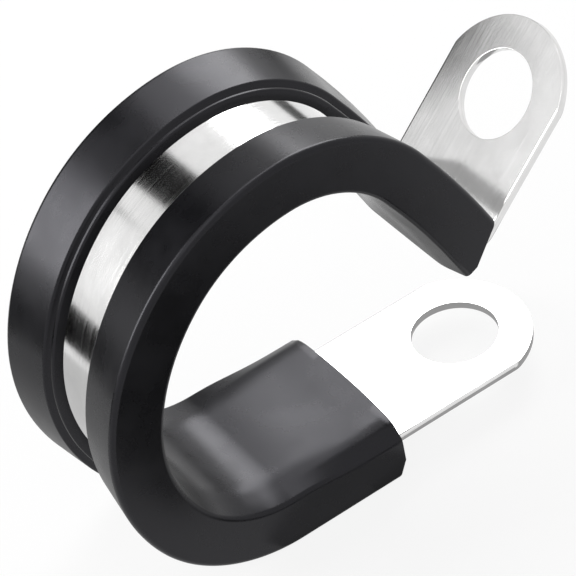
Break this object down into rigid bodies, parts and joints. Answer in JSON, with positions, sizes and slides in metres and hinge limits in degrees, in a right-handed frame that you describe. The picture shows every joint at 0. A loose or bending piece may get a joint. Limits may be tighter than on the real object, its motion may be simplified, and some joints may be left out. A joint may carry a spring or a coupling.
{
  "type": "p clip",
  "caption": "Bent steel strip forming an open loop with a holed tab at each end, lined with a lipped black rubber channel; fixes a cable, hose or pipe to a surface.",
  "frame": {"origin": "centre of the lower tab's hole, in the tab's underside", "axes": "+Z along the lower hole's axis, from the tab's underside to its top, where the loop is; -Z is the way the screw leaves; +X from the loop towards the lower tab's tip; Y along the loop's axis, across the strip"},
  "size_m": [0.054, 0.018, 0.0404],
  "materials": {
    "steel": "satin, brushed",
    "rubber": "satin"
  },
  "bodies": {
    "root": {"steel_band": "steel", "rubber_liner": "rubber"}
  },
  "joints": []
}
